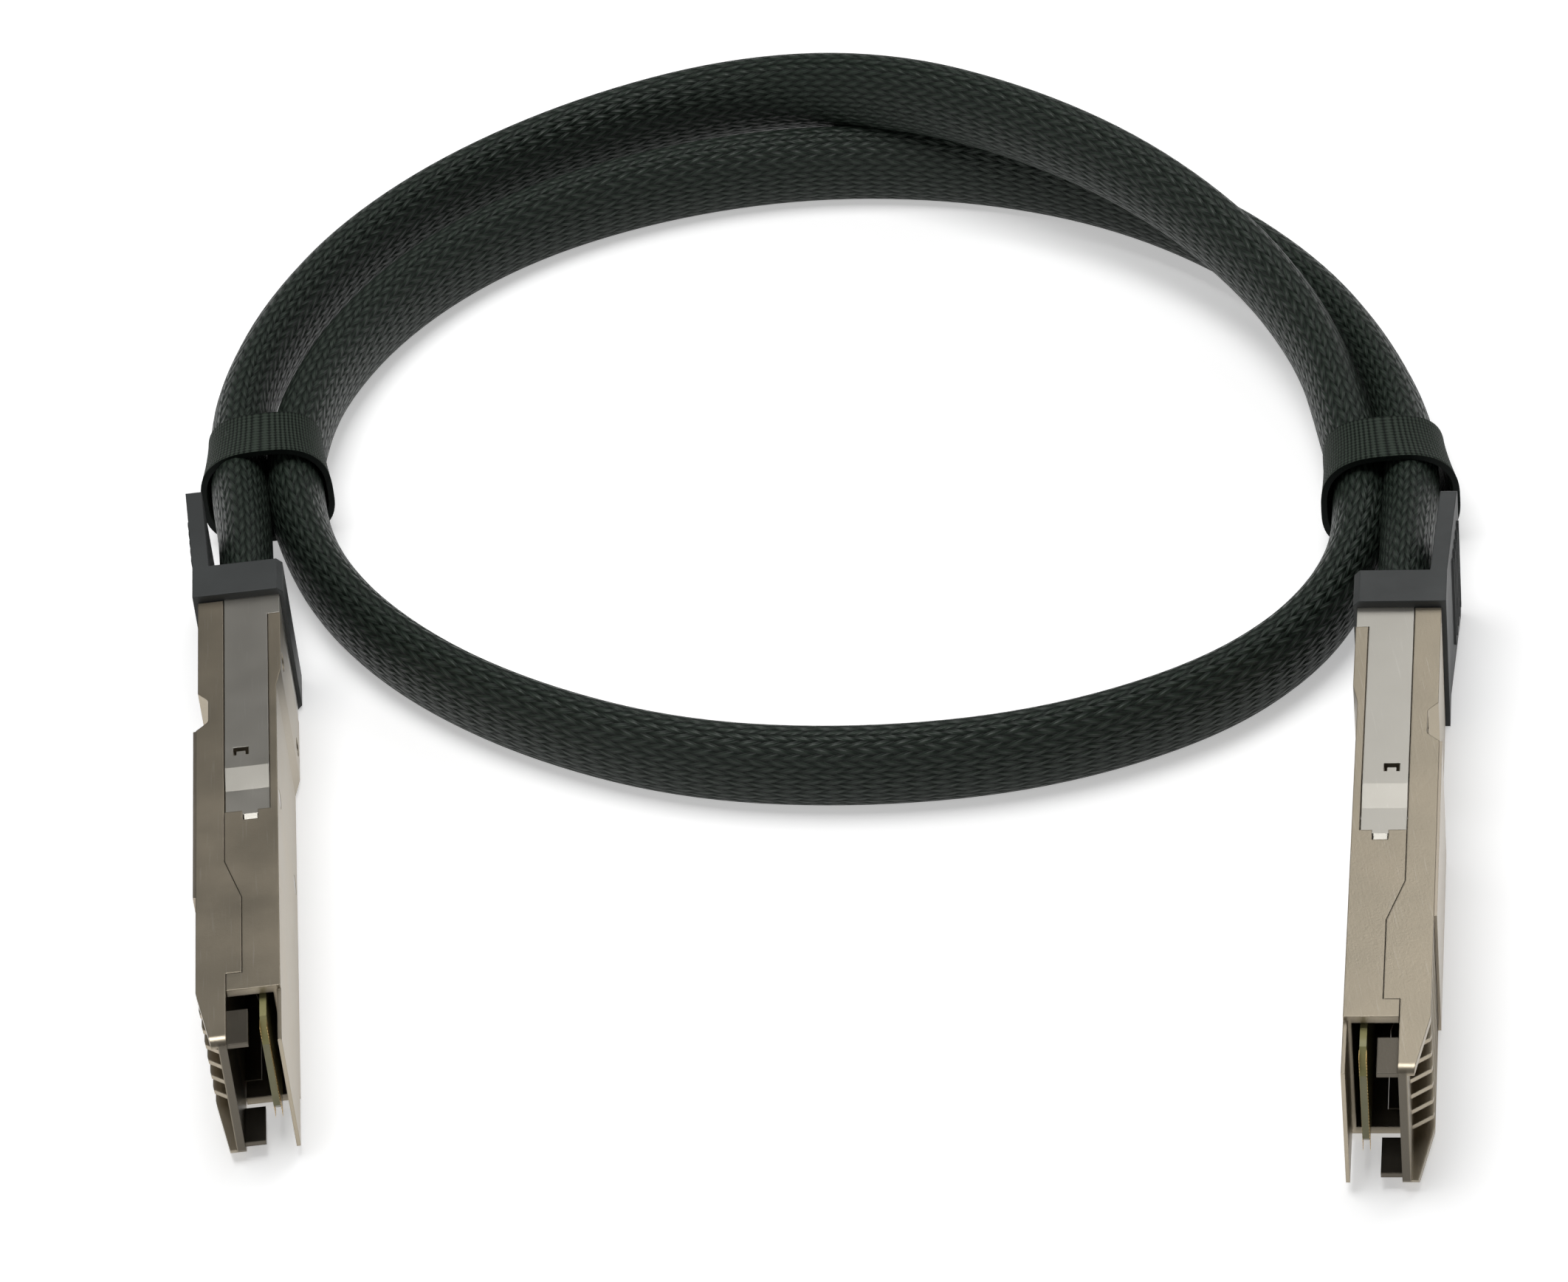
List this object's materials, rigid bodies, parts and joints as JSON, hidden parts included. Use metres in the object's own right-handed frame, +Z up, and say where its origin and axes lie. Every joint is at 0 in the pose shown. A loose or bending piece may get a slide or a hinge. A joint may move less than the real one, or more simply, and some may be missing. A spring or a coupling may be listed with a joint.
{
  "type": "direct attach copper cable",
  "caption": "Copper network cable with a finned pluggable metal module and sliding pull-tab latch at each end, a flat braided cable coiled in a loose loop and held by woven straps.",
  "frame": {"origin": "centre of the two modules' common box, on the surface that the part lies on", "axes": "+Z up, +Y from the noses of the modules towards the coil, +X from the left module to the right one"},
  "size_m": [0.2047, 0.288, 0.0292],
  "materials": {
    "shell_metal": "satin nickel plate over a cast shell",
    "cover_metal": "satin nickel sheet",
    "slider_metal": "brushed stainless sheet",
    "tab_plastic": "fine moulded texture",
    "card_board": "solder mask over laminate",
    "pad_metal": "gold plate",
    "chip_plastic": "moulded",
    "pair_jacket": "foil wrapped",
    "collar_metal": "crimped sheet",
    "spring_metal": "drawn wire",
    "screw_metal": "plated",
    "cable_braid": "braided sleeve",
    "strap_web": "woven band"
  },
  "bodies": {
    "shells_and_cable": {"left_top_shell": "shell_metal", "left_fin_cover": "cover_metal", "left_bottom_shell": "shell_metal", "left_paddle_card": "card_board", "left_contact_pads": "pad_metal", "left_memory_chip": "chip_plastic", "left_copper_pairs": "pair_jacket", "left_cable_collar": "collar_metal", "left_return_springs": "spring_metal", "left_shell_screws": "screw_metal", "right_top_shell": "shell_metal", "right_fin_cover": "cover_metal", "right_bottom_shell": "shell_metal", "right_paddle_card": "card_board", "right_contact_pads": "pad_metal", "right_memory_chip": "chip_plastic", "right_copper_pairs": "pair_jacket", "right_cable_collar": "collar_metal", "right_return_springs": "spring_metal", "right_shell_screws": "screw_metal", "cable_sleeve": "cable_braid", "left_strap": "strap_web", "right_strap": "strap_web"},
    "left_latch": {"left_release_slider": "slider_metal", "left_pull_tab": "tab_plastic"},
    "right_latch": {"right_release_slider": "slider_metal", "right_pull_tab": "tab_plastic"}
  },
  "joints": [
    {"name": "left_latch_slide", "type": "slide", "parent": "shells_and_cable", "child": "left_latch", "axis": [0, 1, 0], "range_m": [0, 0.003], "stiffness_N_per_m": 800, "deforming": ["left_return_springs"]},
    {"name": "right_latch_slide", "type": "slide", "parent": "shells_and_cable", "child": "right_latch", "axis": [0.165, 0.9863, 0], "range_m": [0, 0.003], "stiffness_N_per_m": 800, "deforming": ["right_return_springs"]}
  ]
}
